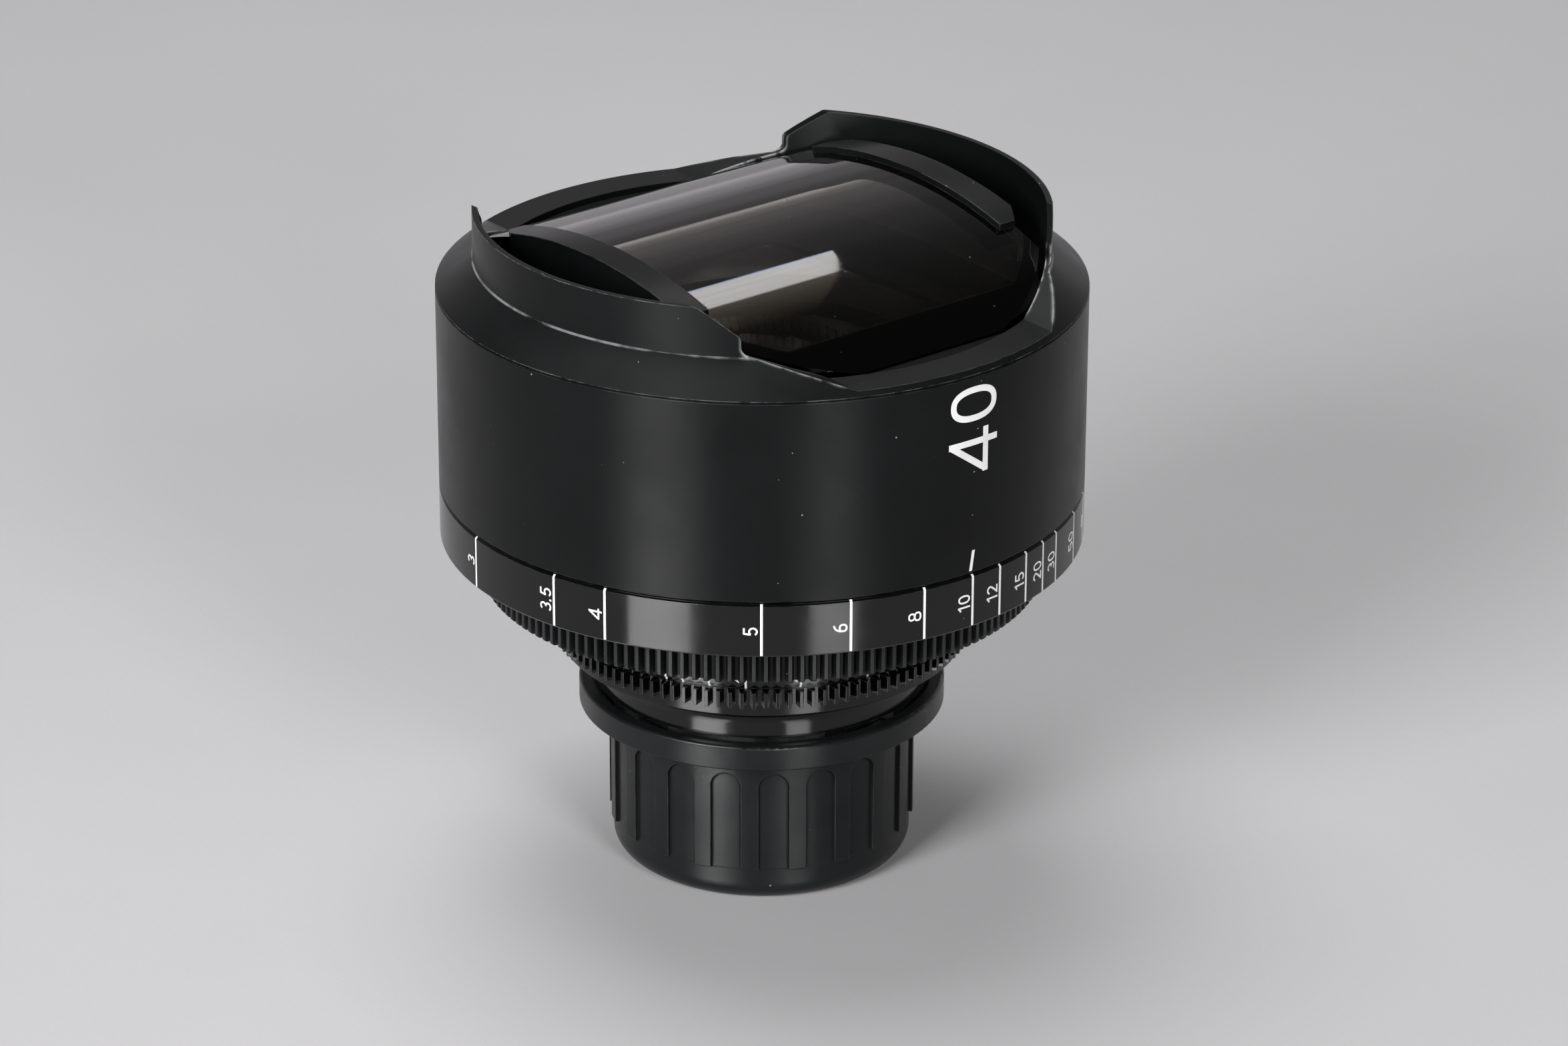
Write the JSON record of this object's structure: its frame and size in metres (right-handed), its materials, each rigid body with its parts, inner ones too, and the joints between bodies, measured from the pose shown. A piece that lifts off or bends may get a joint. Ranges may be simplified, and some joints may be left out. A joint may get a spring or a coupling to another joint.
{
  "type": "cinema prime lens",
  "caption": "Cinema prime lens standing on its ribbed rear cap: cylindrical front glass in a petal hood, plain barrel, distance ring, focus gear and iris ring.",
  "frame": {"origin": "middle of the rear cap's base, on the optical axis", "axes": "+Z along the optical axis towards the front glass; +X towards the focus index; +Y along the front cylinder's rulings, through the hood petals"},
  "size_m": [0.14, 0.14, 0.15],
  "materials": {
    "black_anodised": "satin black anodised",
    "gloss_anodised": "glossy black anodised",
    "grey_aluminium": "dark grey anodised",
    "bare_aluminium": "turned",
    "coated_glass": "polished and coated",
    "inner_glass": "polished and coated",
    "screw_steel": "bright",
    "mount_steel": "fine brushed",
    "blade_steel": "blackened",
    "cap_rubber": "matte moulded"
  },
  "bodies": {
    "lens_body": {"outer_barrel": "black_anodised", "front_hood": "black_anodised", "front_cell": "black_anodised", "front_glass": "coated_glass", "clamp_bar_near": "black_anodised", "clamp_bar_far": "black_anodised", "clamp_screws": "screw_steel", "cell_screws": "screw_steel", "aperture_mask": "black_anodised", "barrel_screws": "screw_steel", "core_tube": "grey_aluminium", "core_screws": "screw_steel", "lower_washer": "screw_steel", "upper_washer": "screw_steel", "taking_cell": "black_anodised", "taking_crown": "inner_glass", "taking_flint": "inner_glass", "taking_retainer": "black_anodised", "iris_base": "black_anodised", "iris_cover": "black_anodised", "rear_barrel": "gloss_anodised", "rear_cell": "black_anodised", "rear_crown": "inner_glass", "rear_flint": "inner_glass", "rear_retainer": "black_anodised", "mount_shim": "screw_steel", "lens_mount": "mount_steel", "mount_screws": "screw_steel", "rear_guard": "black_anodised", "rear_lens": "inner_glass", "guard_retainer": "black_anodised"},
    "focus_ring": {"focus_ring": "gloss_anodised", "focus_gear": "black_anodised", "gear_screws": "screw_steel", "cam_sleeve": "bare_aluminium"},
    "focus_carriage": {"focus_carriage": "grey_aluminium", "carriage_lens": "inner_glass", "carriage_retainer": "black_anodised", "follower_pins": "screw_steel"},
    "iris_ring": {"iris_ring": "gloss_anodised", "iris_drive_pin": "screw_steel", "iris_actuator": "bare_aluminium"},
    "rear_cap": {"rear_cap": "cap_rubber"},
    "iris_blade_1": {"iris_blade_1": "blade_steel"},
    "iris_blade_2": {"iris_blade_2": "blade_steel"},
    "iris_blade_3": {"iris_blade_3": "blade_steel"},
    "iris_blade_4": {"iris_blade_4": "blade_steel"},
    "iris_blade_5": {"iris_blade_5": "blade_steel"},
    "iris_blade_6": {"iris_blade_6": "blade_steel"},
    "iris_blade_7": {"iris_blade_7": "blade_steel"},
    "iris_blade_8": {"iris_blade_8": "blade_steel"},
    "iris_blade_9": {"iris_blade_9": "blade_steel"}
  },
  "joints": [
    {"name": "focus_turn", "type": "hinge", "parent": "lens_body", "child": "focus_ring", "pos_m": [0, 0, 0.082], "axis": [0, 0, 1], "range_deg": [-43, 120]},
    {"name": "focus_travel", "type": "slide", "parent": "lens_body", "child": "focus_carriage", "axis": [0, 0, 1], "range_m": [-0.00213, 0.00591]},
    {"name": "iris_turn", "type": "hinge", "parent": "lens_body", "child": "iris_ring", "pos_m": [0, 0, 0.055], "axis": [0, 0, 1], "range_deg": [0, 67]},
    {"name": "blade_1_swing", "type": "hinge", "parent": "lens_body", "child": "iris_blade_1", "pos_m": [0.0226, 0.01896, 0.05745], "axis": [0, 0, 1], "range_deg": [0, 33.6]},
    {"name": "blade_2_swing", "type": "hinge", "parent": "lens_body", "child": "iris_blade_2", "pos_m": [0.00512, 0.02905, 0.05775], "axis": [0, 0, 1], "range_deg": [0, 33.6]},
    {"name": "blade_3_swing", "type": "hinge", "parent": "lens_body", "child": "iris_blade_3", "pos_m": [-0.01475, 0.02555, 0.05805], "axis": [0, 0, 1], "range_deg": [0, 33.6]},
    {"name": "blade_4_swing", "type": "hinge", "parent": "lens_body", "child": "iris_blade_4", "pos_m": [-0.02772, 0.01009, 0.05835], "axis": [0, 0, 1], "range_deg": [0, 33.6]},
    {"name": "blade_5_swing", "type": "hinge", "parent": "lens_body", "child": "iris_blade_5", "pos_m": [-0.02772, -0.01009, 0.05865], "axis": [0, 0, 1], "range_deg": [0, 33.6]},
    {"name": "blade_6_swing", "type": "hinge", "parent": "lens_body", "child": "iris_blade_6", "pos_m": [-0.01475, -0.02555, 0.05895], "axis": [0, 0, 1], "range_deg": [0, 33.6]},
    {"name": "blade_7_swing", "type": "hinge", "parent": "lens_body", "child": "iris_blade_7", "pos_m": [0.00512, -0.02905, 0.05925], "axis": [0, 0, 1], "range_deg": [0, 33.6]},
    {"name": "blade_8_swing", "type": "hinge", "parent": "lens_body", "child": "iris_blade_8", "pos_m": [0.0226, -0.01896, 0.05955], "axis": [0, 0, 1], "range_deg": [0, 33.6]},
    {"name": "blade_9_swing", "type": "hinge", "parent": "lens_body", "child": "iris_blade_9", "pos_m": [0.0295, 0, 0.05985], "axis": [0, 0, 1], "range_deg": [0, 33.6]},
    {"name": "cap_pull", "type": "slide", "parent": "lens_body", "child": "rear_cap", "axis": [0, 0, 1], "range_m": [-0.06, 0]}
  ],
  "couplings": [
    {"joint": "focus_travel", "follows": "focus_turn", "m_per_rad": 0.0028121},
    {"joint": "blade_1_swing", "follows": "iris_turn", "ratio": 0.5},
    {"joint": "blade_2_swing", "follows": "iris_turn", "ratio": 0.5},
    {"joint": "blade_3_swing", "follows": "iris_turn", "ratio": 0.5},
    {"joint": "blade_4_swing", "follows": "iris_turn", "ratio": 0.5},
    {"joint": "blade_5_swing", "follows": "iris_turn", "ratio": 0.5},
    {"joint": "blade_6_swing", "follows": "iris_turn", "ratio": 0.5},
    {"joint": "blade_7_swing", "follows": "iris_turn", "ratio": 0.5},
    {"joint": "blade_8_swing", "follows": "iris_turn", "ratio": 0.5},
    {"joint": "blade_9_swing", "follows": "iris_turn", "ratio": 0.5}
  ]
}
